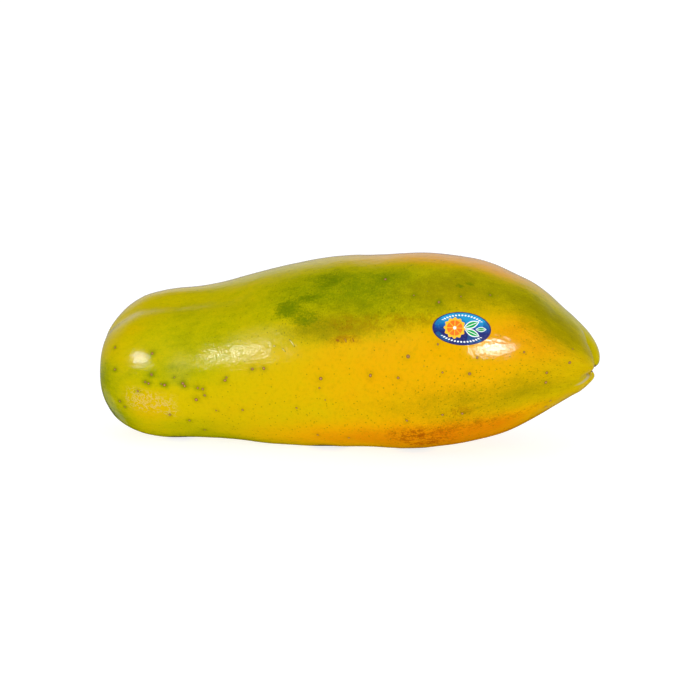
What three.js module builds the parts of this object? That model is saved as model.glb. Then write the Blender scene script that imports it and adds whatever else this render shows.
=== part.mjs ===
// A whole ripe papaya, as picked, lying on its neck and its belly, with an oval label stuck to it.
// Millimetres. +X runs from the stem end to the blossom end, -Y is the side with the label, and +Z is
// up. The origin is on the surface that the fruit lies on, under the middle of the fruit's box.

import * as THREE from 'three';

// The skin is swept through these stations, from the middle of the stem scar to the middle of the
// blossom pit: distance from the stem end, radius, and height of the ring's centre.
const STATIONS = [
  [7.6, 0, 40.2], // middle of the stem scar
  [7.2, 3.4, 40.2],
  [6.2, 6.4, 40.2], // edge of the scar
  [3.8, 8.8, 40.1], // wall of the stem hollow
  [2.1, 12.8, 40.0],
  [1.8, 17.0, 40.0], // crown of the stem end
  [3.2, 22.8, 40.4],
  [6.6, 28.8, 41.1],
  [13.2, 35.6, 41.9],
  [23.5, 41.3, 43.2],
  [38.0, 44.6, 44.2],
  [56.0, 45.4, 45.8], // neck
  [77.0, 47.7, 48.2],
  [98.5, 51.4, 50.8],
  [120.0, 54.3, 53.6],
  [141.0, 56.1, 55.8],
  [164.0, 56.6, 57.0],
  [187.0, 57.3, 58.0], // belly, the thickest place
  [206.0, 55.9, 59.1],
  [227.0, 52.2, 60.0],
  [245.0, 46.0, 59.8],
  [259.0, 38.9, 60.1],
  [272.0, 29.5, 59.1],
  [281.5, 22.5, 58.2],
  [287.9, 17.4, 56.9],
  [291.4, 11.8, 55.2],
  [292.8, 7.4, 53.5],
  [292.7, 3.8, 52.4], // lip of the blossom pit
  [290.9, 0, 51.9], // bottom of the blossom pit
];
const SETTLED = 0.6; // how deep the skin is pressed flat where the fruit rests
const FLATTENING = 0.985; // width of a ring over its height

// Five carpels meet in five seams. Each seam is a crease down the neck, which bends on its way and
// dies out, and a crease at the tip, both with their depths. Angles are in degrees round the fruit, 0
// on the label's side and 90 on top. swell is how far the carpel after the seam stands out of the tip.
const SEAMS = [
  { neck: -150, bend: 6, neckDepth: 2.2, tip: -144, tipDepth: 2.4, swell: 1.5 },
  { neck: -98, bend: 6, neckDepth: 0.8, tip: -84, tipDepth: 2.4, swell: 1.0 },
  { neck: -52, bend: 4, neckDepth: 1.3, tip: -30, tipDepth: 3.6, swell: 1.4 },
  { neck: 65, bend: -10, neckDepth: 4.2, tip: 78, tipDepth: 3.4, swell: 3.4 },
  { neck: 144, bend: 8, neckDepth: 3.0, tip: 198, tipDepth: 2.6, swell: 0.4 },
];
const CREASE = { reach: 13, rounding: 3 }; // degrees: e-fold of its flanks, and its rounded bottom
const BEND = { starts: 50, ends: 110 }; // distances along the fruit
const NECK_SEAM = { starts: 16, full: 42, fades: 62, ends: 125 }; // radius, radius, along, along
const TIP_SEAM = { starts: 0, full: 4, fades: 8, ends: 25 }; // distances over the skin from the pit
const TIP_SWELL = { starts: 0.3, full: 4.2, fades: 7, ends: 24 };

const SIDES = 60; // facets round the fruit
const ROWS = [ // how far apart the rings are, up to each distance over the skin
  { upTo: 60, step: 3.2 },
  { upTo: 300, step: 6.4 },
  { upTo: Infinity, step: 2.4 },
];

const LABEL = {
  along: 223.8, around: 24.9, // its middle
  width: 33.2, height: 19.2, turn: 2, // degrees
  gap: 0.3, thickness: 0.5,
  sides: 36, rings: 4,
};

// Between these shares of the way over the skin, the distance along the fruit only grows.
const FLANK = { from: 0.15, to: 0.9 };
const HALVINGS = 40; // steps of the search for a share

const { degToRad, radToDeg, smoothstep, euclideanModulo } = THREE.MathUtils;
const ORIGIN = new THREE.Vector2();

// The line of stations as one smooth curve. Its x, y and z are along, radius and centre height.
const spine = new THREE.CatmullRomCurve3(
  STATIONS.map(([along, radius, height]) => new THREE.Vector3(along, radius, height)),
  false, 'centripetal');
spine.arcLengthDivisions = 2000;
const skinLength = spine.getLength();

// Signed turn from angle b to angle a, in degrees, from -180 to 180.
const turn = (a, b) => euclideanModulo(a - b + 180, 360) - 180;

// The share of its full depth that a crease has at an angle off its line.
function crease(off) {
  const away = Math.hypot(off, CREASE.rounding) - CREASE.rounding;
  return Math.exp(-away / CREASE.reach);
}

// How far the skin stands out of, or is sunk into, the plain ring at a place.
function relief(angle, along, radius, fromTip) {
  const begun = (at, way) => smoothstep(at, way.starts, way.full);
  const left = (at, way) => 1 - smoothstep(at, way.fades, way.ends);
  const neck = begun(radius, NECK_SEAM) * left(along, NECK_SEAM);
  const tip = begun(fromTip, TIP_SEAM) * left(fromTip, TIP_SEAM);
  const lobes = begun(fromTip, TIP_SWELL) * left(fromTip, TIP_SWELL);
  const bent = smoothstep(along, BEND.starts, BEND.ends);
  let height = 0;
  SEAMS.forEach((seam, i) => {
    height -= seam.neckDepth * neck * crease(turn(angle, seam.neck + seam.bend * bent));
    height -= seam.tipDepth * tip * crease(turn(angle, seam.tip));
    const wide = euclideanModulo(SEAMS[(i + 1) % SEAMS.length].tip - seam.tip, 360);
    const within = euclideanModulo(angle - seam.tip, 360) / wide;
    if (within < 1) height += seam.swell * lobes * Math.sqrt(Math.sin(Math.PI * within));
  });
  return height;
}

// A point of the skin, by its share of the way over the skin from the stem scar and its angle.
function skinPoint(share, angle) {
  const [along, radius, height] = spine.getPointAt(share).toArray();
  const slope = spine.getTangentAt(share);
  const out = new THREE.Vector2(-slope.y, slope.x).normalize();
  const rise = relief(angle, along, radius, (1 - share) * skinLength);
  const reach = Math.max(0, radius + rise * out.y);
  const a = degToRad(angle);
  return new THREE.Vector3(
    along + rise * out.x,
    -reach * Math.cos(a) * FLATTENING,
    Math.max(0, height - SETTLED + reach * Math.sin(a)),
  );
}

// The share of the way over the skin at a distance along the fruit, away from its two ends.
function shareAt(along) {
  let { from: low, to: high } = FLANK;
  for (let i = 0; i < HALVINGS; i++) {
    const middle = (low + high) / 2;
    if (spine.getPointAt(middle).x < along) low = middle;
    else high = middle;
  }
  return low;
}

// A closed mesh from vertices and triangles.
function solid(points, triangles) {
  const geometry = new THREE.BufferGeometry().setFromPoints(points);
  geometry.setIndex(triangles);
  geometry.computeVertexNormals();
  return geometry;
}

// Shares of the way over the skin, one for each ring between the two ends.
function ringShares() {
  const shares = [];
  let way = 0;
  for (;;) {
    way += ROWS.find((row) => way < row.upTo).step;
    if (way > skinLength - ROWS[2].step / 2) return shares;
    shares.push(way / skinLength);
  }
}

function fruitGeometry() {
  const shares = ringShares();
  const points = [skinPoint(0, 0)];
  for (const share of shares) {
    for (let i = 0; i < SIDES; i++) points.push(skinPoint(share, (360 * i) / SIDES));
  }
  points.push(skinPoint(1, 0));
  const at = (ring, side) => 1 + ring * SIDES + (side % SIDES);
  const triangles = [];
  for (let i = 0; i < SIDES; i++) {
    triangles.push(0, at(0, i), at(0, i + 1));
    triangles.push(points.length - 1, at(shares.length - 1, i + 1), at(shares.length - 1, i));
    for (let ring = 0; ring + 1 < shares.length; ring++) {
      triangles.push(at(ring, i), at(ring + 1, i), at(ring + 1, i + 1));
      triangles.push(at(ring, i), at(ring + 1, i + 1), at(ring, i + 1));
    }
  }
  return solid(points, triangles);
}

// A point of the stuck label by x and y on the flat label, raised along the skin's normal.
function labelPoint(x, y, raise) {
  const share = shareAt(LABEL.along);
  const radius = spine.getPointAt(share).y;
  const place = (u, v) =>
    skinPoint(share + u / skinLength, LABEL.around + radToDeg(v / radius));
  const { x: u, y: v } = new THREE.Vector2(x, y).rotateAround(ORIGIN, degToRad(LABEL.turn));
  const across = place(u + 1, v).sub(place(u - 1, v));
  const up = place(u, v + 1).sub(place(u, v - 1));
  return place(u, v).addScaledVector(across.cross(up).normalize(), raise);
}

function labelGeometry() {
  const { sides, rings, gap, thickness } = LABEL;
  const points = [labelPoint(0, 0, gap), labelPoint(0, 0, gap + thickness)];
  for (const raise of [gap, gap + thickness]) {
    for (let ring = 1; ring <= rings; ring++) {
      for (let i = 0; i < sides; i++) {
        const a = (2 * Math.PI * i) / sides;
        const x = (Math.cos(a) * LABEL.width * ring) / rings / 2;
        const y = (Math.sin(a) * LABEL.height * ring) / rings / 2;
        points.push(labelPoint(x, y, raise));
      }
    }
  }
  const at = (face, ring, side) => 2 + (face * rings + ring) * sides + (side % sides);
  const triangles = [];
  for (let i = 0; i < sides; i++) {
    triangles.push(0, at(0, 0, i + 1), at(0, 0, i));
    triangles.push(1, at(1, 0, i), at(1, 0, i + 1));
    for (let ring = 0; ring + 1 < rings; ring++) {
      triangles.push(at(0, ring, i), at(0, ring, i + 1), at(0, ring + 1, i));
      triangles.push(at(0, ring, i + 1), at(0, ring + 1, i + 1), at(0, ring + 1, i));
      triangles.push(at(1, ring, i), at(1, ring + 1, i), at(1, ring, i + 1));
      triangles.push(at(1, ring, i + 1), at(1, ring + 1, i), at(1, ring + 1, i + 1));
    }
    triangles.push(at(0, rings - 1, i), at(0, rings - 1, i + 1), at(1, rings - 1, i));
    triangles.push(at(0, rings - 1, i + 1), at(1, rings - 1, i + 1), at(1, rings - 1, i));
  }
  return solid(points, triangles);
}

const rind = new THREE.MeshStandardMaterial({ color: 0xd8b400, roughness: 0.38, metalness: 0 });
const printedFilm = new THREE.MeshStandardMaterial({ color: 0x0b5fb4, roughness: 0.3, metalness: 0 });

const fruit = new THREE.Mesh(fruitGeometry(), rind);
fruit.name = 'fruit';
const label = new THREE.Mesh(labelGeometry(), printedFilm);
label.name = 'label';

const papaya = new THREE.Group();
papaya.add(fruit, label);

// The stations count from the stem end: the group is shifted so that the origin is under the middle.
const box = new THREE.Box3().setFromObject(fruit);
papaya.position.set(-(box.min.x + box.max.x) / 2, -(box.min.y + box.max.y) / 2, -box.min.z);

export default papaya;
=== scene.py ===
import math
import random

import bpy
import numpy as np
from mathutils import Matrix, Vector


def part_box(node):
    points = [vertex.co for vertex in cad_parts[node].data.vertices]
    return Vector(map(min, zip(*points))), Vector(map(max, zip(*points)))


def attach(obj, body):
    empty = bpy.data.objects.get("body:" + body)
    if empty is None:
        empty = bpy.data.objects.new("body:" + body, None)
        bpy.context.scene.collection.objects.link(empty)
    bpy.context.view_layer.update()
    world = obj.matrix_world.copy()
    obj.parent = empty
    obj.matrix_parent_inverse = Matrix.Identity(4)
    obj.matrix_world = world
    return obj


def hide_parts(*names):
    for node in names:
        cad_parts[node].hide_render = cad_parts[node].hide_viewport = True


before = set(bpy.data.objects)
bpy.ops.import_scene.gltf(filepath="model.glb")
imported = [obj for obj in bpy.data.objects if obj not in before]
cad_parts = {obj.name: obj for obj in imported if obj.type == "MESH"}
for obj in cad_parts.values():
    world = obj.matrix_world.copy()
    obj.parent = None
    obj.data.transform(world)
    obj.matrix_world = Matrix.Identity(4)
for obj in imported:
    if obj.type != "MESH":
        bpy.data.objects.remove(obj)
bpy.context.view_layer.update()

# A ripening papaya that lies on its side. Scene units are metres; the sizes below are millimetres.
MM = 0.001
SEED = 11

# Places on the skin are (along, around): millimetres from the stem end towards the tip, and degrees
# round the fruit, 0 in front, 90 on top, 180 behind and -90 underneath.
STEM_END = -149.0
MIDDLE_LINE = [(0, 39.6), (56, 45.2), (120, 53.0), (190, 57.4), (260, 59.5), (292, 51.5)]
SKIN_RADIUS = 50.0  # of the round that patterns are drawn on
PATCH_EDGE = 1.5  # how sharply soft patches end

# ---------------------------------------------------------------------------------------------
# Colours of the skin
# ---------------------------------------------------------------------------------------------
LEMON = (0.58, 0.44, 0.0)
GOLDEN = (0.74, 0.365, 0.0)
ORANGE = (0.68, 0.17, 0.0)
LIME_GREEN = (0.32, 0.39, 0.0)
LEAF_GREEN = (0.17, 0.22, 0.0)
DEEP_GREEN = (0.10, 0.16, 0.0)
OLIVE = (0.25, 0.21, 0.0)
RUSSET = (0.33, 0.075, 0.0)
# Painted contact shadow colour, for the underside where the fruit lies on the floor.
CONTACT_SHADE = (0.10, 0.06, 0.02)
OLIVE_DOT = (0.16, 0.15, 0.0)
NET_TAN = (0.70, 0.49, 0.18)
# Pale cork that also serves as a painted highlight for the glints along the tip's creases.
SEAM_CORK_AND_GLINT = (0.50, 0.43, 0.22)

# Soft patches are (along, around, half length, half width, strength).
WARM_PATCHES = [
    (205, 0, 75, 40, 0.46), (258, 24, 25, 20, 0.48), (190, -52, 80, 18, 0.75), (228, -52, 32, 14, 0.60),
    (205, 90, 56, 18, 0.62), (230, -72, 44, 12, 0.65), (28, 41, 7, 5, 0.12), (36, -25, 18, 14, 0.14),
    (150, 24, 26, 8, 0.25), (250, 84, 20, 16, 0.30), (100, -20, 34, 24, 0.06),
    (200, 150, 60, 30, 0.55), (235, -130, 45, 30, 0.70), (120, -120, 50, 28, 0.35), (70, 170, 30, 20, 0.15),
]
GREEN_PATCHES = [
    (0, -45, 22, 46, 0.66), (2, 5, 16, 22, 0.60), (0, 90, 14, 60, 0.15), (0, -140, 18, 60, 0.9),
    (14, 62, 22, 28, 0.10), (14, -22, 17, 26, 0.35), (18, -50, 16, 18, 0.40),
    (66, 30, 46, 34, 0.56), (46, 2, 30, 11, 0.42), (72, -8, 16, 12, 0.15), (75, 72, 60, 20, 0.33),
    (70, -44, 36, 12, 0.20), (54, -54, 24, 20, 0.30), (64, -68, 50, 12, 0.50), (113, 40, 15, 12, 0.32),
    (150, 55, 48, 18, 0.80), (215, 62, 60, 15, 0.48), (258, 60, 30, 18, 0.15), (130, 86, 60, 14, 0.25),
    (146, 36, 30, 11, 0.40), (188, 38, 40, 13, 0.60), (160, 23, 34, 8, 0.36), (132, 22, 26, 8, 0.32),
    (120, 128, 70, 24, 0.55), (215, 132, 40, 18, 0.60), (90, -150, 60, 22, 0.40), (180, -168, 50, 16, 0.50),
    (285, 150, 22, 60, 0.50), (270, 80, 26, 24, 0.42),
]
OLIVE_PATCHES = [
    (274, 52, 27, 26, 0.72), (228, 60, 36, 15, 0.52), (278, -5, 24, 50, 0.26), (225, -22, 60, 15, 0.42),
    (255, -25, 22, 16, 0.16), (212, 46, 36, 13, 0.55), (190, 28, 26, 6, 0.34), (148, 25, 28, 8, 0.62),
    (154, 36, 24, 11, 0.36), (228, -40, 30, 10, 0.20), (227, -18, 7, 5, 0.25), (257, -24, 7, 4, 0.25),
    (253, -9, 6, 5, 0.22), (285, 180, 24, 60, 0.50), (120, 150, 50, 20, 0.30),
]
DEEP_GREEN_PATCHES = [
    (122, 40, 11, 7, 1.0), (133, 46, 8, 4, 0.8), (133, 33, 9, 5, 0.80), (143, 58, 9, 9, 0.80),
    (140, 28, 16, 5, 0.45), (219.5, 55, 3.5, 2, 0.95), (225, 58.5, 3.5, 1.6, 1.0), (231, 48, 3, 1.3, 0.6),
    (240, 46, 4, 1.3, 0.6), (184, 35, 3, 2.5, 0.7), (9, -48, 8, 12, 0.40),
    (155, 130, 14, 9, 0.9), (176, 138, 8, 5, 0.8), (95, -155, 12, 6, 0.7), (205, -165, 9, 6, 0.7),
]
RUSSET_PATCHES = [
    (196, -47, 17, 8, 0.85), (201, -58, 16, 8, 0.90), (222, -29, 7, 4, 0.60), (226, -44, 22, 7, 0.42),
    (157, 19, 9, 3, 0.55), (172, 29, 22, 5, 0.30), (197, 31, 16, 4, 0.30), (156, 28, 6, 6, 0.20),
    (258, -46.5, 11, 3, 0.42), (240, -46, 9, 3, 0.32), (150, -100, 16, 9, 0.6), (215, 165, 12, 6, 0.6),
]
NET_PATCHES = [
    (30, -12, 9, 7, 0.55), (34, -20, 10, 9, 0.85), (46, -21, 10, 9, 0.75), (50, -30, 8, 6, 0.5),
    (120, 165, 20, 14, 0.8), (60, -130, 16, 14, 0.8),
]
DOTTED_PATCHES = [
    (232, -18, 44, 26, 0.75), (200, -45, 40, 14, 0.75), (150, 42, 60, 30, 0.38), (265, 5, 24, 44, 0.60),
    (80, -45, 40, 20, 0.22), (140, -30, 50, 20, 0.25), (180, 150, 90, 40, 0.45), (180, -130, 80, 30, 0.4),
]
DULL_PATCHES = [
    (100, 14, 36, 18, 0.9), (24, 14, 14, 16, 0.6), (244, 14, 14, 10, 0.25), (190, 60, 70, 24, 0.5),
    (100, 160, 60, 40, 0.6), (200, -150, 60, 40, 0.6),
]
# A soft bloom on the wax, where highlights blur.
BLOOM_PATCHES = [
    (104, 25, 17, 7, 0.8), (58, 6, 8, 12, 0.5), (150, 170, 60, 40, 0.4), (180, -130, 60, 30, 0.4),
]
# Pale lines along the seams that meet at the tip: partly cork, partly a painted highlight for the thin
# glint along each crease.
SEAM_GLINT_PATCHES = [
    (290, 78, 5, 4, 0.8), (290, -30, 6, 5, 0.9), (290, -84, 6, 5, 0.8), (290, -144, 6, 5, 0.8),
    (290, -162, 6, 5, 0.8),
]
# Painted contact shadow: dark brown along the underside where the fruit lies on the floor.
CONTACT_SHADE_PATCHES = [(48, -82, 9, 15, 1.0), (139, -82, 13, 15, 1.0), (190, -84, 14, 14, 0.7)]
PATCHES = {
    "warmth": WARM_PATCHES, "green": GREEN_PATCHES, "olive": OLIVE_PATCHES,
    "deep_green": DEEP_GREEN_PATCHES, "russet": RUSSET_PATCHES, "bruise": CONTACT_SHADE_PATCHES,
    "seam": SEAM_GLINT_PATCHES, "net": NET_PATCHES, "dotted": DOTTED_PATCHES, "dull": DULL_PATCHES,
    "bloom": BLOOM_PATCHES,
}

# Patterns of the skin are (squeeze along the fruit, features per mm, detail, roughness).
PATTERNS = {
    "clouds": (1.0, 0.06, 3, 0.5),
    "blotches": (0.7, 0.22, 4, 0.62),
    "brush": (0.32, 0.26, 4, 0.62),
    "hairs": (0.32, 1.3, 2, 0.6),
    "grain": (1.0, 1.1, 2, 0.7),
    "mottle": (1.0, 0.5, 3, 0.65),
    "veins": (1.0, 0.25, 3, 0.6),
    "wide peel": (0.576, 0.4, 2, 0.5),
    "fine peel": (1.0, 0.7, 2, 0.6),
}
# How far patterns swing the strength of each kind of patch, which frays its edges.
FRAYS = {
    "warmth": {"clouds": 0.25, "blotches": 0.22, "grain": 0.18},
    "green": {"brush": 0.25, "blotches": 0.45, "grain": 0.55, "clouds": 0.25},
    "olive": {"brush": 0.25, "blotches": 0.45, "grain": 0.60},
    "deep_green": {"brush": 0.75, "grain": 0.8, "hairs": 0.8},
    "russet": {"blotches": 0.8, "mottle": 1.0, "grain": 0.5},
    "net": {"blotches": 0.9},
    "seam": {"grain": 0.6},
    "bruise": {"grain": 0.5},
    "dull": {"grain": 0.8},
}
# A colour covers the skin from one strength to another: (start, end, cover at start, cover at end).
COVERS = {
    "green": (0.0, 1.0, 0.0, 1.0),
    "olive": (0.05, 1.0, 0.0, 1.0),
    "deep_green": (0.25, 1.1, 0.0, 0.85),
    "mottle": (0.45, 0.75, 0.0, 0.22),
    "net": (0.1, 0.8, 0.0, 0.54),
    "russet": (-0.14, 0.18, 0.0, 1.0),
    "halo": (-0.1, 0.45, 0.12, 0.85),
    "seam": (0.25, 0.9, 0.0, 0.8),
    "bruise": (0.2, 0.8, 0.0, 1.0),
}
VEIN_WIDTH = 0.045  # as a swing of the veins' pattern
PORES_PER_MM = 0.56
PORE_EDGE = (0.10, 0.34)
STRAY_PORES = 0.03  # share of the pores that shows where the skin isn't dotted
PORE_DARKNESS = 0.68
DULLNESS = (0.1, 1.0, 0.09, 0.14)  # strengths of the dull patches, and the roughness at each
BLOOM_ROUGHNESS = 0.32
RIND_SHINE = 0.23
WIDE_PEEL_HEIGHT, FINE_PEEL_HEIGHT, PEEL_DEPTH = 1.1, 0.6, 0.34
PEEL_STRENGTH = (0.0, 0.9, 0.40, 0.70)  # strengths of the dull patches, and the bump's at each

# Corky spots are (along, around, diameter). The others are strewn over the far side.
# A scratch script worked out these places from points picked by eye.
CORKY_SPOTS = [
    (16, 28, 1.8), (17, 8, 1.8), (41, 19, 2.2), (41, 3, 2.2), (37, -2.6, 1.8), (39.1, -3.8, 2.0),
    (48.8, -5.5, 2.4), (46.8, -4.5, 1.2), (55, 0, 1.1), (60, -5, 2.3), (61, -7, 2.2), (69, -9, 1.8),
    (72, -10, 2.0), (73, -15, 1.9), (67.5, -18.4, 2.8), (19, -22, 1.8), (22, -27, 1.4), (32, -10, 1.7),
    (50, -32, 1.9), (61, -39, 1.8), (79, -28, 1.5), (68, -54, 1.9), (103, 3, 2.2), (110, 3, 2.4),
    (86, -4, 2.4), (87, -2, 1.5), (95.5, -26.5, 1.8), (128.5, -24, 1.7), (144, -4, 2.6), (143, -10, 1.6),
    (138, -49, 1.9), (146, -18, 1.2), (176.5, 58, 2.4), (209.5, 41.8, 2.0), (194.5, 8.6, 3.0),
    (173, -2.3, 2.5), (189, -4, 2.1), (211, 16, 1.8), (214, -1, 1.6), (213, -30, 2.2), (192.5, -33, 2.2),
    (156, -52, 2.0), (221.3, 47.2, 1.4), (233, 8, 2.3), (258, 12, 1.6), (229, -2.4, 2.3),
    (270, -4.8, 2.3), (269.5, -16.2, 2.2), (282, 13, 2.3), (283.2, 34, 1.3), (271, -48, 2.0),
    (268, -57, 1.8), (224, -31, 2.2), (237, 53, 1.6), (194.8, 45.6, 1.3),
]
STREWN_SPOTS = 75
STREWN_ALONG, STREWN_AROUND, STREWN_DIAMETERS = (14, 280), (95, 250), (1.2, 2.6)
SPOT_LENGTHS, SPOT_WIDTHS = (0.8, 1.0), (0.7, 0.9)  # as shares of a spot's diameter
SPOT_HEIGHT = 0.16
SPOT_SIDES = 14
SPOT_SUNK = 0.03
# The rings of a spot 1 mm across: (width, rise as a share of the spot's height), from its rim inwards.
SPOT_RINGS = [(0.13, 0.7), (0.13, 0.3), (0.10, -0.2)]

# Healed scratches are (along, around, length, width, turn from lengthwise in degrees, brownness).
# Their places come from the same scratch script.
SCRATCHES = [
    (126.6, 17.8, 6.2, 0.9, -50, 0.0), (121.8, 13.7, 3.4, 0.8, -42, 0.0), (115.9, 16.5, 1.8, 1.3, 0, 0.1),
    (153.4, 18.6, 2.4, 1.2, -20, 1.0), (158.0, 18.6, 3.2, 0.8, -65, 0.8), (162.4, 18.6, 2.6, 0.7, -70, 1.0),
]
SCRATCH_HEIGHT = 1.6  # as a share of a spot's

LABEL_WIDTH = 33.2
LABEL_HEIGHT = 19.2
LABEL_TURN = 2.0  # degrees
LABEL_THICKNESS = 0.10
LABEL_SIDES = 72
LABEL_RINGS, LABEL_RING_WIDTH = 5, 1.6
LABEL_GAP = 0.03  # between its back and the skin
LABEL_START = 4  # how far off the skin it is before it is wrapped on


# ---------------------------------------------------------------------------------------------
# Tools of the trade
# ---------------------------------------------------------------------------------------------
def select_only(piece):
    bpy.ops.object.select_all(action="DESELECT")
    piece.select_set(True)
    bpy.context.view_layer.objects.active = piece


def flat_disc(name, sides, radius):
    """A flat round face on the XY plane, selected and in edit mode."""
    bpy.ops.object.select_all(action="DESELECT")
    bpy.ops.mesh.primitive_circle_add(vertices=sides, radius=radius * MM, fill_type="NGON")
    disc = bpy.context.active_object
    disc.name = name
    bpy.ops.object.mode_set(mode="EDIT")
    bpy.ops.mesh.select_mode(type="FACE")
    bpy.ops.mesh.select_all(action="SELECT")
    return disc


def cut_rings(count, width):
    """Cuts the selected face into rings, which lets it bend, and leaves edit mode."""
    for _ in range(count):
        bpy.ops.mesh.inset(thickness=width * MM)
    bpy.ops.mesh.poke()
    bpy.ops.object.mode_set(mode="OBJECT")


def apply_modifier(piece, kind, **settings):
    select_only(piece)
    modifier = piece.modifiers.new(kind.lower(), kind)
    for name, setting in settings.items():
        setattr(modifier, name, setting)
    bpy.ops.object.modifier_apply(modifier=modifier.name)


def smooth(piece, levels):
    apply_modifier(piece, "SUBSURF", levels=levels, render_levels=levels)


def wrap_on_skin(piece, rind, gap):
    """Wraps a flat piece onto the skin behind it, a gap away."""
    bpy.context.view_layer.update()
    apply_modifier(
        piece, "SHRINKWRAP", target=rind, wrap_method="PROJECT", use_project_z=True,
        use_negative_direction=True, use_positive_direction=False, offset=gap * MM,
    )


def settle_on_fruit(piece):
    """Applies the piece's place and makes it part of the fruit."""
    select_only(piece)
    bpy.ops.object.transform_apply(location=True, rotation=True, scale=True)
    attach(piece, "root")


def middle_height(along):
    distances, heights = zip(*MIDDLE_LINE)
    return np.interp(along, distances, heights)


def skin_coordinates(mesh):
    """Each vertex's along, and its around in degrees."""
    points = np.empty(len(mesh.vertices) * 3)
    mesh.vertices.foreach_get("co", points)
    x, y, z = points.reshape(-1, 3).T / MM
    along = x - STEM_END
    around = np.degrees(np.arctan2(z - middle_height(along), -y))
    return along, around


def skin_place(rind, along, around):
    """The point of the skin at a place, and the way that the skin faces there."""
    turn = math.radians(around)
    start = Vector((STEM_END + along, 0.0, middle_height(along))) * MM
    outwards = Vector((0.0, -math.cos(turn), math.sin(turn)))
    _, point, normal, _ = rind.ray_cast(start, outwards)
    return point, normal


def lie_on_skin(point, normal, turn):
    """The matrix of something flat that lies on the skin, its X lengthwise and then turned."""
    lengthwise = (Vector((1, 0, 0)) - normal * normal.x).normalized()
    across = normal.cross(lengthwise)
    axes = Matrix((lengthwise, across, normal)).transposed().to_4x4()
    return Matrix.Translation(point) @ axes @ Matrix.Rotation(math.radians(turn), 4, "Z")


def layered(along, around, patches):
    """How strongly soft patches cover each point, one laid over another like thin paint."""
    bare = np.ones(len(along))
    for middle, turn, half_length, half_width, strength in patches:
        off = (around - turn + 180) % 360 - 180
        reach = ((along - middle) / half_length) ** 2 + (off / half_width) ** 2
        bare *= 1 - strength * np.exp(-reach ** PATCH_EDGE)
    return 1 - bare


def store(mesh, name, values, kind="FLOAT"):
    layer = mesh.attributes.new(name, kind, "POINT")
    field = "vector" if kind == "FLOAT_VECTOR" else "value"
    layer.data.foreach_set(field, np.asarray(values, dtype=np.float32).ravel())


def store_from_middle(disc, radius):
    """Stores each vertex's distance from the disc's middle, 1 at its rim."""
    distances = [vertex.co.xy.length / (radius * MM) for vertex in disc.data.vertices]
    store(disc.data, "from_middle", distances)


class Nodes:
    """Shader nodes built step by step. Each step gives the socket that the next steps read."""

    def __init__(self, tree):
        self.tree = tree

    def feed(self, socket, source):
        if isinstance(source, bpy.types.NodeSocket):
            self.tree.links.new(source, socket)
        elif socket.type == "RGBA":
            socket.default_value = (*source, 1.0)
        else:
            socket.default_value = source

    def step(self, kind, inputs, output=0, **settings):
        node = self.tree.nodes.new("ShaderNode" + kind)
        for name, setting in settings.items():
            setattr(node, name, setting)
        for name, source in inputs.items():
            self.feed(node.inputs[name], source)
        return node.outputs[output]

    def attribute(self, name, output="Fac"):
        return self.step("Attribute", {}, output, attribute_name=name)

    def object_place(self):
        return self.step("TexCoord", {}, "Object")

    def stretch(self, vector, scale, place=(0, 0, 0)):
        return self.step("Mapping", {"Vector": vector, "Scale": scale, "Location": place})

    def inside(self, vector, place, turn, size):
        """Coordinates of a motif: its middle is 0 and its half size is 1."""
        turned = (0, 0, math.radians(turn))
        inputs = {"Vector": vector, "Location": (*place, 0), "Rotation": turned, "Scale": (*size, 1)}
        return self.step("Mapping", inputs, vector_type="TEXTURE")

    def noise(self, vector, scale, detail=2.0, roughness=0.5):
        inputs = {"Vector": vector, "Scale": scale, "Detail": detail, "Roughness": roughness}
        return self.step("TexNoise", inputs, "Fac")

    def cells(self, vector, scale, output="Distance", **settings):
        return self.step("TexVoronoi", {"Vector": vector, "Scale": scale}, output, **settings)

    def axis(self, vector, name):
        return self.step("SeparateXYZ", {"Vector": vector}, name)

    def length(self, vector):
        return self.step("VectorMath", {0: vector}, "Value", operation="LENGTH")

    def maths(self, operation, first, second=0.5):
        return self.step("Math", {0: first, 1: second}, operation=operation)

    def sum(self, first, *others):
        total = first
        for other in others:
            total = self.maths("ADD", total, other)
        return total

    def less(self, first, *others):
        left = first
        for other in others:
            left = self.maths("SUBTRACT", left, other)
        return left

    def times(self, first, second):
        return self.maths("MULTIPLY", first, second)

    def swing(self, source, amount):
        """A pattern's swing about its middle, up to plus or minus half the amount."""
        inputs = {"Value": source, "To Min": -amount / 2, "To Max": amount / 2}
        return self.step("MapRange", inputs)

    def ease(self, source, start, end, low=0.0, high=1.0):
        inputs = {"Value": source, "From Min": start, "From Max": end, "To Min": low, "To Max": high}
        return self.step("MapRange", inputs, interpolation_type="SMOOTHSTEP")

    def fade(self, source, start, end):
        """1 before the start and 0 after the end."""
        return self.ease(source, start, end, 1.0, 0.0)

    def mix(self, share, under, over):
        return self.step("Mix", {0: share, 6: under, 7: over}, 2, data_type="RGBA")

    def ramp(self, source, stops):
        node = self.tree.nodes.new("ShaderNodeValToRGB")
        self.tree.links.new(source, node.inputs["Fac"])
        elements = node.color_ramp.elements
        while len(elements) < len(stops):
            elements.new(0.5)
        for element, (position, colour) in zip(elements, stops):
            element.position = position
            element.color = (*colour, 1.0)
        return node.outputs["Color"]

    def bump(self, height, depth, strength=1.0):
        inputs = {"Height": height, "Distance": depth, "Strength": strength}
        return self.step("Bump", inputs)


class Finish(Nodes):
    """A material, which coat() gives to a piece."""

    def __init__(self, name):
        self.material = bpy.data.materials.new(name)
        self.material.use_nodes = True
        super().__init__(self.material.node_tree)

    def coat(self, piece, **sockets):
        """Feeds the shader and gives the material to the piece."""
        shader = self.tree.nodes["Principled BSDF"]
        for name, source in sockets.items():
            self.feed(shader.inputs[name.replace("_", " ")], source)
        piece.data.materials.clear()
        piece.data.materials.append(self.material)


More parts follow.
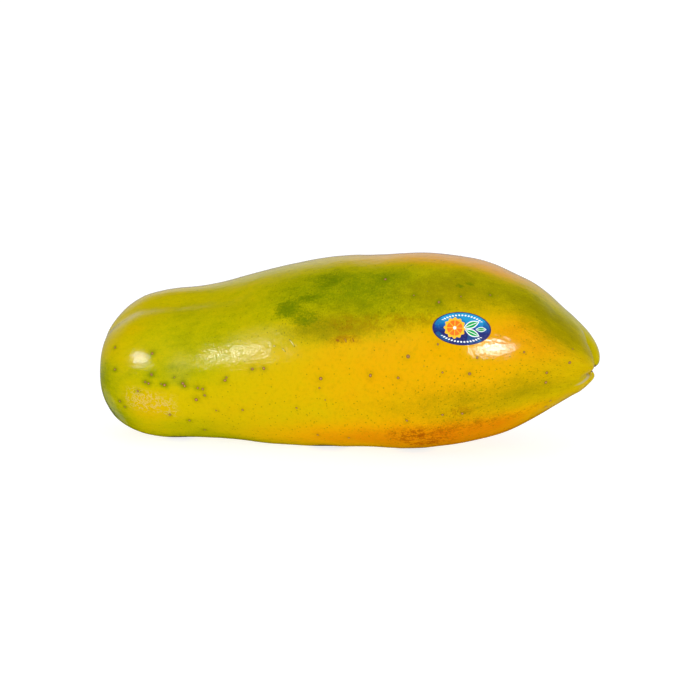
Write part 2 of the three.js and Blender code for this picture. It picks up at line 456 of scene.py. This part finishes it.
# ---------------------------------------------------------------------------------------------
# The fruit
# ---------------------------------------------------------------------------------------------
LUMP_SIZE, LUMP_HEIGHT = 42.0, 1.3
DIMPLE_SIZE, DIMPLE_HEIGHT = 9.0, 0.22
MERGED_BELOW = 0.01  # vertices closer than this become one


def make_rind():
    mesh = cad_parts["fruit"].data.copy()
    rind = bpy.data.objects.new("rind", mesh)
    bpy.context.collection.objects.link(rind)
    select_only(rind)
    bpy.ops.mesh.customdata_custom_splitnormals_clear()
    bpy.ops.object.mode_set(mode="EDIT")
    bpy.ops.mesh.select_all(action="SELECT")
    bpy.ops.mesh.remove_doubles(threshold=MERGED_BELOW * MM)
    bpy.ops.mesh.tris_convert_to_quads(face_threshold=math.pi, shape_threshold=math.pi)
    bpy.ops.object.mode_set(mode="OBJECT")
    smooth(rind, levels=2)
    relief(rind, "slow lumps", LUMP_SIZE, LUMP_HEIGHT)
    relief(rind, "dimples", DIMPLE_SIZE, DIMPLE_HEIGHT)
    rest_on_floor(rind)
    select_only(rind)
    bpy.ops.object.shade_smooth()
    paint(rind)
    rind_finish(rind)
    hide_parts("fruit")
    settle_on_fruit(rind)
    return rind


def relief(piece, name, size, height):
    texture = bpy.data.textures.new(name, "CLOUDS")
    texture.noise_scale = size * MM
    apply_modifier(piece, "DISPLACE", texture=texture, texture_coords="LOCAL", strength=height * MM)


def rest_on_floor(piece):
    for vertex in piece.data.vertices:
        vertex.co.z = max(vertex.co.z, 0.0)


def spot_halos(along, around):
    """Where the skin is darker round the corky spots."""
    shade = np.zeros(len(along))
    for middle, turn, diameter in CORKY_SPOTS:
        across = np.radians(around - turn) * SKIN_RADIUS
        away = ((along - middle) ** 2 + across ** 2) / diameter ** 2
        shade = np.maximum(shade, np.exp(-away))
    return shade


def paint(rind):
    """Stores, at each vertex, where the skin's colours and marks are."""
    mesh = rind.data
    along, around = skin_coordinates(mesh)
    turn = np.radians(around)
    girth = np.stack([along, SKIN_RADIUS * np.cos(turn), SKIN_RADIUS * np.sin(turn)], axis=1)
    store(mesh, "skin", girth, "FLOAT_VECTOR")
    for name, patches in PATCHES.items():
        store(mesh, name, layered(along, around, patches))
    store(mesh, "halo", spot_halos(along, around))


def rind_finish(rind):
    finish = Finish("waxy rind")
    skin = finish.attribute("skin", "Vector")
    patterns = skin_patterns(finish, skin)
    green = frayed(finish, "green", patterns)
    greens = finish.ramp(green, [(0.4, LIME_GREEN), (0.9, LEAF_GREEN)])
    halo = finish.times(finish.attribute("halo"), finish.ease(green, *COVERS["halo"]))

    warmth = frayed(finish, "warmth", patterns)
    colour = finish.ramp(warmth, [(0.0, LEMON), (0.5, GOLDEN), (1.0, ORANGE)])
    colour = finish.mix(finish.ease(green, *COVERS["green"]), colour, greens)
    colour = lay_over(finish, colour, "olive", patterns, OLIVE)
    colour = lay_over(finish, colour, "deep_green", patterns, DEEP_GREEN)
    colour = finish.mix(finish.ease(patterns["mottle"], *COVERS["mottle"]), colour, OLIVE)
    colour = finish.mix(net_share(finish, patterns), colour, NET_TAN)
    colour = finish.mix(russet_share(finish, patterns), colour, RUSSET)
    colour = finish.mix(pore_share(finish, skin), colour, OLIVE_DOT)
    colour = finish.mix(halo, colour, DEEP_GREEN)
    # Pale seams at the tip: partly cork, partly a painted highlight for the glint along each crease.
    colour = lay_over(finish, colour, "seam", patterns, SEAM_CORK_AND_GLINT)
    # Painted contact shadow, dark along the underside where the fruit lies on the floor.
    colour = lay_over(finish, colour, "bruise", patterns, CONTACT_SHADE)
    finish.coat(
        rind,
        Base_Color=colour,
        Roughness=wax_roughness(finish, patterns),
        Specular_IOR_Level=RIND_SHINE,
        Normal=peel_bump(finish, patterns),
    )


def skin_patterns(finish, skin):
    """The skin's patterns, by name."""
    patterns = {}
    for name, (squeeze, scale, detail, roughness) in PATTERNS.items():
        place = finish.stretch(skin, (squeeze, 1, 1))
        patterns[name] = finish.noise(place, scale, detail, roughness)
    return patterns


def swings(finish, kind, patterns):
    """How far each pattern swings one kind of patch."""
    return [finish.swing(patterns[name], amount) for name, amount in FRAYS[kind].items()]


def frayed(finish, kind, patterns):
    """The strength of one kind of patch, with frayed edges."""
    return finish.sum(finish.attribute(kind), *swings(finish, kind, patterns))


def lay_over(finish, under, kind, patterns, colour):
    """Lays a colour over the skin where its patches are strong."""
    cover = finish.ease(frayed(finish, kind, patterns), *COVERS[kind])
    return finish.mix(cover, under, colour)


def net_share(finish, patterns):
    """Fine corky veins that cross like a net."""
    ridge = finish.maths("ABSOLUTE", finish.swing(patterns["veins"], 1.0))
    vein = finish.fade(ridge, 0.0, VEIN_WIDTH)
    return finish.times(vein, finish.ease(frayed(finish, "net", patterns), *COVERS["net"]))


def russet_share(finish, patterns):
    """Flecks, wherever several patterns swing up together in a russet patch."""
    flecks = finish.sum(*swings(finish, "russet", patterns))
    return finish.times(finish.ease(flecks, *COVERS["russet"]), finish.attribute("russet"))


def pore_share(finish, skin):
    """Tiny dark pores, in a share of the cells that rises where the skin is dotted."""
    pore = finish.fade(finish.cells(skin, PORES_PER_MM), *PORE_EDGE)
    chance = finish.step("SeparateColor", {"Color": finish.cells(skin, PORES_PER_MM, "Color")}, "Red")
    chosen = finish.maths("LESS_THAN", chance, finish.sum(finish.attribute("dotted"), STRAY_PORES))
    return finish.times(pore, finish.times(chosen, PORE_DARKNESS))


def wax_roughness(finish, patterns):
    """Glossy wax, a little rougher where it is dull and much rougher under its bloom."""
    dull = finish.ease(frayed(finish, "dull", patterns), *DULLNESS)
    return finish.sum(dull, finish.times(finish.attribute("bloom"), BLOOM_ROUGHNESS))


def peel_bump(finish, patterns):
    """Peel like an orange's but much finer, and deeper where the rind is dull, so highlights fray."""
    wide = finish.times(patterns["wide peel"], WIDE_PEEL_HEIGHT)
    fine = finish.times(patterns["fine peel"], FINE_PEEL_HEIGHT)
    strength = finish.ease(finish.attribute("dull"), *PEEL_STRENGTH)
    return finish.bump(finish.sum(wide, fine), PEEL_DEPTH * MM, strength)


# ---------------------------------------------------------------------------------------------
# Corky spots and healed scratches
# ---------------------------------------------------------------------------------------------
# Cork is (crumbs per metre, how far they fray the rings, roughness).
SPOT_CORK = (1800.0, 0.5, 0.6)
SCRATCH_CORK = (1500.0, 0.4, 0.5)
CORK_SHINE = 0.1
CORK_BUMP = 0.05
CRUMB_DETAIL, CRUMB_ROUGHNESS = 3, 0.7
# Colours from the middle, 0, to the rim, 1.
SPOT_COLOURS = [
    (0.0, (0.60, 0.34, 0.21)), (0.40, (0.42, 0.19, 0.08)),
    (0.72, (0.19, 0.07, 0.0)), (1.0, (0.30, 0.18, 0.0)),
]
SCRATCH_COLOURS = [(0.0, (0.80, 0.72, 0.30)), (0.55, (0.66, 0.56, 0.14)), (0.9, (0.15, 0.13, 0.0))]
SPOT_BROWN = (0.26, 0.13, 0.04)
SCRATCH_BROWN = (0.30, 0.11, 0.0)
SPOT_BROWNING = (0.45, 1.0, 0.0, 0.7)  # tones, and the share of brown at each


def make_one_spot():
    """A low corky dome 1 mm across, a little sunk in the middle, on the XY plane."""
    spot = flat_disc("one_spot", SPOT_SIDES, 0.5)
    for width, rise in SPOT_RINGS:
        bpy.ops.mesh.inset(thickness=width * MM)
        bpy.ops.transform.translate(value=(0, 0, rise * SPOT_HEIGHT * MM))
    bpy.ops.mesh.poke()
    bpy.ops.object.mode_set(mode="OBJECT")
    bpy.ops.object.shade_smooth()
    store_from_middle(spot, 0.5)
    store(spot.data, "tone", np.zeros(len(spot.data.vertices)))
    return spot


def place_copy(model, rind, along, around, size, turn, tone):
    """Copies the model onto the skin. The size is its length, width and height."""
    point, normal = skin_place(rind, along, around)
    copy = model.copy()
    copy.data = model.data.copy()
    bpy.context.collection.objects.link(copy)
    sunk = point - normal * SPOT_SUNK * MM
    copy.matrix_world = lie_on_skin(sunk, normal, turn) @ Matrix.Diagonal((*size, 1.0))
    copy.data.attributes["tone"].data.foreach_set("value", [tone] * len(copy.data.vertices))
    return copy


def join_copies(copies, name):
    bpy.ops.object.select_all(action="DESELECT")
    for copy in copies:
        copy.select_set(True)
    bpy.context.view_layer.objects.active = copies[0]
    bpy.ops.object.transform_apply(location=True, rotation=True, scale=True)
    bpy.ops.object.join()
    joined = bpy.context.active_object
    joined.name = name
    return joined


def strewn_spots(chance):
    """Places for the spots of the far side: anywhere but the front, whose spots are in CORKY_SPOTS."""
    spots = []
    while len(spots) < STREWN_SPOTS:
        along = chance.uniform(*STREWN_ALONG)
        around = chance.uniform(*STREWN_AROUND)
        spots.append((along, around, chance.uniform(*STREWN_DIAMETERS)))
    return spots


def make_spots(rind):
    chance = random.Random(SEED)
    model = make_one_spot()
    copies = []
    for along, around, diameter in CORKY_SPOTS + strewn_spots(chance):
        size = (diameter * chance.uniform(*SPOT_LENGTHS), diameter * chance.uniform(*SPOT_WIDTHS), 1.0)
        turn = chance.uniform(0, 180)
        tone = chance.random()
        copies.append(place_copy(model, rind, along, around, size, turn, tone))
    bpy.data.objects.remove(model)
    spots = join_copies(copies, "corky_spots")
    finish = Finish("grey-pink cork")
    browning = finish.ease(finish.attribute("tone"), *SPOT_BROWNING)
    cork_finish(finish, spots, SPOT_CORK, SPOT_COLOURS, browning, SPOT_BROWN)
    settle_on_fruit(spots)


def make_scratches(rind):
    model = make_one_spot()
    copies = []
    for along, around, length, width, turn, tone in SCRATCHES:
        size = (length, width, SCRATCH_HEIGHT)
        copies.append(place_copy(model, rind, along, around, size, turn, tone))
    bpy.data.objects.remove(model)
    scratches = join_copies(copies, "healed_scratches")
    finish = Finish("dried latex")
    browning = finish.attribute("tone")
    cork_finish(finish, scratches, SCRATCH_CORK, SCRATCH_COLOURS, browning, SCRATCH_BROWN)
    settle_on_fruit(scratches)


def cork_finish(finish, piece, cork, colours, browning, brown):
    """Crumbly rings of colour, browned here and there."""
    scale, fray, roughness = cork
    crumbs = finish.noise(finish.object_place(), scale, CRUMB_DETAIL, CRUMB_ROUGHNESS)
    away = finish.sum(finish.attribute("from_middle"), finish.swing(crumbs, fray))
    finish.coat(
        piece,
        Base_Color=finish.mix(browning, finish.ramp(away, colours), brown),
        Roughness=roughness,
        Specular_IOR_Level=CORK_SHINE,
        Normal=finish.bump(crumbs, CORK_BUMP * MM),
    )


# ---------------------------------------------------------------------------------------------
# The label
# ---------------------------------------------------------------------------------------------
NAVY = (0.006, 0.011, 0.14)
ROYAL = (0.0, 0.10, 0.38)
SKY = (0.01, 0.30, 0.60)
RIM_INK = (0.03, 0.012, 0.12)
WHITE_INK = (0.85, 0.90, 0.92)
SUN_YELLOW = (0.95, 0.50, 0.02)
SUN_ORANGE = (0.90, 0.17, 0.008)
LEAF_INK = (0.0, 0.36, 0.07)

# Motifs are placed by their middle, (across, up) from the label's. Leaves are (middle, turn in degrees,
# (half length, half width)).
LABEL_SUN, SUN_RADIUS = (-4.0, 0.1), 6.3
LABEL_LEAVES = [((5.4, 2.4), 26, (4.2, 1.6)), ((6.0, -2.3), -22, (3.9, 1.5)), ((10.9, 0.1), 4, (2.7, 1.1))]
SKY_HEIGHT = 9.0  # the blue pales from this far below the middle to this far above it
FACETS_PER_MM = 0.17
PALE_FACETS, DARK_FACETS = (0.2, 1.0, 0.0, 0.45), (0.3, 1.0, 0.0, 0.6)
RIM_STARTS, RIM_FULL = 0.945, 0.965  # as shares of the oval
BEADS, BEAD_LENGTH, BEAD_OVAL, BEAD_DEPTH = 46, 1.45, 0.80, 9.0
BEAD_EDGE = (0.38, 0.52)
BEADS_FROM = 4.4  # height above or below the middle
# Edges in a motif are (start, end), where its middle is 0 and its half size is 1.
SCALLOPS, SCALLOP_DEPTH, SUN_RIM = 12.0, 0.07, 0.9
SUN_EDGE, FLESH_EDGE, CORE_EDGE = (0.0, 0.05), (0.68, 0.72), (0.12, 0.17)
SEGMENTS, SEGMENT_EDGE = 8, (0.10, 0.16)
LEAF_OUTLINE, LEAF_EDGE = (-0.36, -0.26), (0.0, 0.1)
MIDRIB_SIDES, MIDRIB_ENDS = (0.08, 0.16), (0.2, 0.3)
DUST_PER_METRE, DUST_COVER = 900.0, (0.5, 0.8, 0.0, 0.04)
RUCKS_PER_METRE, RUCK_DEPTH = 160.0, 0.05
FILM_ROUGHNESS, FILM_SHINE = 0.5, 0.08


def make_label(rind):
    low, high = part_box("label")
    middle = (Vector(low) + Vector(high)) / 2
    _, point, normal, _ = rind.closest_point_on_mesh(middle)
    label = flat_disc("label_film", LABEL_SIDES, 0.5)
    bpy.ops.transform.resize(value=(LABEL_WIDTH, LABEL_HEIGHT, 1))
    cut_rings(LABEL_RINGS, LABEL_RING_WIDTH)
    unwrap_label(label)
    label.matrix_world = lie_on_skin(point + normal * LABEL_START * MM, normal, LABEL_TURN)
    wrap_on_skin(label, rind, LABEL_GAP + LABEL_THICKNESS)
    apply_modifier(label, "SOLIDIFY", thickness=LABEL_THICKNESS * MM, offset=-1.0)
    select_only(label)
    bpy.ops.object.shade_smooth_by_angle(angle=math.radians(40))
    label_finish(label)
    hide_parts("label")
    settle_on_fruit(label)


def unwrap_label(label):
    """Gives the flat label its artwork's map, the width of the label to one unit."""
    artwork = label.data.uv_layers.new(name="artwork")
    for loop in label.data.loops:
        place = label.data.vertices[loop.vertex_index].co.xy / (LABEL_WIDTH * MM)
        artwork.data[loop.index].uv = (place.x + 0.5, place.y + 0.5)


def label_finish(label):
    finish = Finish("printed film")
    sheet = finish.step("UVMap", {}, uv_map="artwork")
    half = LABEL_WIDTH / 2
    place = finish.stretch(sheet, (LABEL_WIDTH, LABEL_WIDTH, 1), (-half, -half, 0))
    oval = finish.length(finish.inside(place, (0, 0), 0, (half, LABEL_HEIGHT / 2)))
    ink = blue_facets(finish, place)
    ink = white_beads(finish, place, oval, ink)
    ink = sun(finish, place, LABEL_SUN, SUN_RADIUS, ink)
    for middle, turn, size in LABEL_LEAVES:
        ink = leaf(finish, place, middle, turn, size, ink)
    ink = finish.mix(finish.ease(oval, RIM_STARTS, RIM_FULL), ink, RIM_INK)
    dust = finish.noise(finish.object_place(), DUST_PER_METRE, 3)
    rucks = finish.noise(finish.object_place(), RUCKS_PER_METRE)
    finish.coat(
        label,
        Base_Color=finish.mix(finish.ease(dust, *DUST_COVER), ink, WHITE_INK),
        Roughness=FILM_ROUGHNESS,
        Specular_IOR_Level=FILM_SHINE,
        Normal=finish.bump(rucks, RUCK_DEPTH * MM),
    )


def blue_facets(finish, place):
    """Blue facets, pale at the top and dark at the bottom."""
    height = finish.ease(finish.axis(place, "Y"), -SKY_HEIGHT, SKY_HEIGHT)
    base = finish.ramp(height, [(0.30, NAVY), (0.62, ROYAL), (0.88, SKY)])
    facet = finish.cells(place, FACETS_PER_MM, "Color", distance="MANHATTAN")
    paler = finish.step("SeparateColor", {"Color": facet}, "Red")
    darker = finish.step("SeparateColor", {"Color": facet}, "Green")
    facets = finish.mix(finish.ease(paler, *PALE_FACETS), base, SKY)
    return finish.mix(finish.ease(darker, *DARK_FACETS), facets, NAVY)


def white_beads(finish, place, oval, ink):
    """A row of beads inside the rim, above and below the motifs."""
    height = finish.axis(place, "Y")
    round_height = finish.times(height, LABEL_WIDTH / LABEL_HEIGHT)
    turn = finish.maths("ARCTAN2", round_height, finish.axis(place, "X"))
    step = finish.less(finish.maths("FRACT", finish.times(turn, BEADS / math.tau)), 0.5)
    sideways = finish.times(step, BEAD_LENGTH)
    inwards = finish.times(finish.less(oval, BEAD_OVAL), BEAD_DEPTH)
    square = finish.sum(finish.times(sideways, sideways), finish.times(inwards, inwards))
    bead = finish.fade(finish.maths("SQRT", square), *BEAD_EDGE)
    kept = finish.maths("GREATER_THAN", finish.maths("ABSOLUTE", height), BEADS_FROM)
    return finish.mix(finish.times(bead, kept), ink, WHITE_INK)


def sun(finish, place, middle, radius, ink):
    """A scalloped sun, cut in segments like a slice of fruit."""
    local = finish.inside(place, middle, 0, (radius, radius))
    away = finish.length(local)
    turn = finish.maths("ARCTAN2", finish.axis(local, "Y"), finish.axis(local, "X"))
    scallops = finish.times(finish.maths("COSINE", finish.times(turn, SCALLOPS)), SCALLOP_DEPTH)
    edge = finish.less(away, scallops, SUN_RIM)
    ink = finish.mix(finish.fade(edge, *SUN_EDGE), ink, SUN_YELLOW)
    spokes = finish.maths("ABSOLUTE", finish.maths("SINE", finish.times(turn, SEGMENTS / 2)))
    width = finish.times(spokes, away)
    flesh = finish.times(finish.ease(width, *SEGMENT_EDGE), finish.fade(away, *FLESH_EDGE))
    ink = finish.mix(flesh, ink, SUN_ORANGE)
    return finish.mix(finish.fade(away, *CORE_EDGE), ink, WHITE_INK)


def leaf(finish, place, middle, turn, size, ink):
    """A pointed leaf with a white outline and a pale midrib."""
    local = finish.inside(place, middle, turn, size)
    length = finish.axis(local, "X")
    side = finish.maths("ABSOLUTE", finish.axis(local, "Y"))
    margin = finish.less(1.0, finish.times(length, length), side)
    ink = finish.mix(finish.ease(margin, *LEAF_OUTLINE), ink, WHITE_INK)
    ink = finish.mix(finish.ease(margin, *LEAF_EDGE), ink, LEAF_INK)
    midrib = finish.times(finish.fade(side, *MIDRIB_SIDES), finish.ease(margin, *MIDRIB_ENDS))
    return finish.mix(midrib, ink, WHITE_INK)


# ---------------------------------------------------------------------------------------------
# The two ends
# ---------------------------------------------------------------------------------------------
STEM_SCAR_RADIUS, STEM_SCAR_HEIGHT, STEM_SCAR_GAP = 6.6, 39.6, 0.25
REMNANT_RADIUS, REMNANT_HEIGHT, REMNANT_GAP = 2.3, 51.4, 0.2
BEFORE_STEM_END, PAST_TIP = STEM_END - 6, STEM_END + 300
SCAR_SIDES, SCAR_RINGS = 40, 6
SCAR_RINGS_TO_MIDDLE = 7.5
SCAR_RIPPLES = 22.0  # ripples of dark and pale, in radians from the middle to the rim
SCAR_CRUMBS_PER_METRE, SCAR_CRUMB_DETAIL, SCAR_FRAY = 900.0, 4, 0.35
SCAR_CRUMB_SIZE, SCAR_CRUMB_HEIGHT = 2.2, 0.7
SCAR_SHINE, SCAR_ROUGHNESS, SCAR_BUMP = 0.2, 0.8, 0.25
# Corks are (pale, brown, dark).
STEM_CORK = [(0.42, 0.33, 0.19), (0.24, 0.15, 0.07), (0.07, 0.04, 0.02)]
REMNANT_CORK = [(0.30, 0.20, 0.09), (0.16, 0.08, 0.03), (0.04, 0.02, 0.01)]


def make_end_scar(rind, name, radius, start_x, height, facing, gap):
    """A ringed corky disc that lies on the skin at one end of the fruit, facing -1 or 1 along X."""
    scar = flat_disc(name, SCAR_SIDES, radius)
    cut_rings(SCAR_RINGS, radius / SCAR_RINGS_TO_MIDDLE)
    store_from_middle(scar, radius)
    axes = Matrix((Vector((0, facing, 0)), Vector((0, 0, 1)), Vector((facing, 0, 0)))).transposed()
    scar.matrix_world = Matrix.Translation(Vector((start_x, 0, height)) * MM) @ axes.to_4x4()
    wrap_on_skin(scar, rind, gap)
    select_only(scar)
    bpy.ops.object.transform_apply(location=True, rotation=True, scale=True)
    smooth(scar, levels=1)
    relief(scar, name + " crumbs", SCAR_CRUMB_SIZE, SCAR_CRUMB_HEIGHT)
    bpy.ops.object.shade_smooth()
    return scar


def scar_finish(scar, cork):
    pale, brown, dark = cork
    finish = Finish(scar.name.replace("_", " ") + " cork")
    place = finish.object_place()
    crumbs = finish.noise(place, SCAR_CRUMBS_PER_METRE, SCAR_CRUMB_DETAIL, CRUMB_ROUGHNESS)
    away = finish.sum(finish.attribute("from_middle"), finish.swing(crumbs, SCAR_FRAY))
    ripples = finish.maths("SINE", finish.times(away, SCAR_RIPPLES))
    colour = finish.ramp(away, [(0.0, dark), (0.35, brown), (0.8, pale), (1.0, dark)])
    finish.coat(
        scar,
        Base_Color=finish.mix(finish.ease(ripples, -1.0, 1.0, 0.0, 0.35), colour, dark),
        Roughness=SCAR_ROUGHNESS,
        Specular_IOR_Level=SCAR_SHINE,
        Normal=finish.bump(crumbs, SCAR_BUMP * MM),
    )


def make_ends(rind):
    stem = make_end_scar(
        rind, "stem_scar", STEM_SCAR_RADIUS, BEFORE_STEM_END, STEM_SCAR_HEIGHT, -1, STEM_SCAR_GAP)
    scar_finish(stem, STEM_CORK)
    settle_on_fruit(stem)
    remnant = make_end_scar(
        rind, "blossom_remnant", REMNANT_RADIUS, PAST_TIP, REMNANT_HEIGHT, 1, REMNANT_GAP)
    scar_finish(remnant, REMNANT_CORK)
    settle_on_fruit(remnant)


# ---------------------------------------------------------------------------------------------
# Floor, light and camera
# ---------------------------------------------------------------------------------------------
TARGET = Vector((0, 0, 0.055))
FLOOR_RADIUS, FLOOR_SIDES = 30, 96  # metres
FLOOR_GREY, FLOOR_GLOW = 0.35, 0.80
SOFTBOX_DISTANCE = 2.0  # metres

# Softboxes are (name, azimuth, elevation, width and height in metres, brightness of the cloth).
SOFTBOXES = [
    ("left softbox", -41.5, 12, 0.25, 0.50, 9.2),
    ("left side panel", -34.0, 5.2, 0.26, 0.34, 6.8),
    ("left lamp", -42.5, 13.5, 0.14, 0.27, 74),
    ("right softbox", 34.8, 12, 0.78, 0.62, 22),
    ("right lamp", 37, 14.5, 0.36, 0.34, 26),
    ("left bounce", -122, -30, 1.3, 0.8, 0.30),
    ("right bounce", 150, -36, 1.0, 0.4, 0.30),
]
# Broad lights are (name, azimuth, elevation, strength, spread in degrees).
BROAD_LIGHTS = [
    ("left fill", -30, 16, 1.65, 60), ("right fill", 50, 16, 1.65, 60), ("ceiling", 0, 85, 1.35, 90),
]
# The room's brightness is a product of fades (axis of the way looked, start, end, brightness at each).
ROOM_FADES = [
    ("Y", 0.1, 0.88, 0.05, 0.95), ("Z", -0.36, -0.18, 0.0, 1.0),
    ("Z", -0.05, 0.35, 0.42, 1.0), ("Z", 0.38, 0.76, 1.0, 0.04),
]

VIEW = (11.7, 12.0)  # azimuth and elevation
DISTANCE = 1.6
PIXELS_PER_METRE = 1702
FRAME_PIXELS = 700
SENSOR = 36
AIM_RIGHT, AIM_UP = 0.6, 1.1  # millimetres


def direction(azimuth, elevation):
    """The way from the fruit to something, azimuth 0 in front and 90 at the right."""
    a, e = math.radians(azimuth), math.radians(elevation)
    return Vector((math.sin(a) * math.cos(e), -math.cos(a) * math.cos(e), math.sin(e)))


def turned_to(azimuth, elevation):
    """The turn of a lamp or camera that stands that way and looks at the fruit."""
    return direction(azimuth, elevation).to_track_quat("Z", "Y").to_euler()


def make_floor():
    bpy.ops.object.select_all(action="DESELECT")
    bpy.ops.mesh.primitive_circle_add(vertices=FLOOR_SIDES, radius=FLOOR_RADIUS, fill_type="NGON")
    floor = bpy.context.active_object
    floor.name = "floor"
    finish = Finish("lit white table")
    finish.coat(
        floor,
        Base_Color=(FLOOR_GREY, FLOOR_GREY, FLOOR_GREY),
        Roughness=0.9,
        Specular_IOR_Level=0.0,
        Emission_Color=(1.0, 1.0, 1.0),
        Emission_Strength=FLOOR_GLOW,
    )
    floor.visible_glossy = False


def make_softbox(name, azimuth, elevation, width, height, brightness):
    """An oval softbox that only shows as a highlight."""
    bpy.ops.object.light_add(
        type="AREA",
        location=TARGET + SOFTBOX_DISTANCE * direction(azimuth, elevation),
        rotation=turned_to(azimuth, elevation),
    )
    lamp = bpy.context.active_object
    lamp.name = name
    lamp.data.shape = "ELLIPSE"
    lamp.data.size = width
    lamp.data.size_y = height
    lamp.data.energy = brightness * math.pi * width * height
    lamp.visible_diffuse = False


def make_broad_light(name, azimuth, elevation, strength, spread):
    """A wide even light from far away, which gives no highlight."""
    bpy.ops.object.light_add(type="SUN", rotation=turned_to(azimuth, elevation))
    lamp = bpy.context.active_object
    lamp.name = name
    lamp.data.energy = strength
    lamp.data.angle = math.radians(spread)
    lamp.visible_glossy = False


def make_room():
    """Bright behind the fruit, near the floor, and dim elsewhere, but plain white to the camera."""
    world = bpy.data.worlds.new("studio")
    bpy.context.scene.world = world
    world.use_nodes = True
    room = Nodes(world.node_tree)
    way = room.step("TexCoord", {}, "Generated")
    brightness = 1.0
    for axis, start, end, low, high in ROOM_FADES:
        brightness = room.times(brightness, room.ease(room.axis(way, axis), start, end, low, high))
    seen = room.step("LightPath", {}, "Is Camera Ray")
    background = world.node_tree.nodes["Background"]
    room.feed(background.inputs["Color"], (1, 1, 1))
    room.feed(background.inputs["Strength"], room.maths("MAXIMUM", brightness, seen))


def make_lights():
    for softbox in SOFTBOXES:
        make_softbox(*softbox)
    for light in BROAD_LIGHTS:
        make_broad_light(*light)
    make_room()
    bpy.context.scene.view_settings.view_transform = "Standard"


def make_camera():
    back = direction(*VIEW)
    right = direction(VIEW[0] + 90, 0)
    up = back.cross(right)
    bpy.ops.object.camera_add(
        location=TARGET + back * DISTANCE + (right * AIM_RIGHT + up * AIM_UP) * MM,
        rotation=turned_to(*VIEW),
    )
    camera = bpy.context.active_object
    camera.data.sensor_width = SENSOR
    camera.data.lens = PIXELS_PER_METRE * SENSOR * DISTANCE / FRAME_PIXELS
    camera.data.clip_start = 0.1
    bpy.context.scene.camera = camera


rind = make_rind()
make_label(rind)
make_spots(rind)
make_scratches(rind)
make_ends(rind)
make_floor()
make_lights()
make_camera()
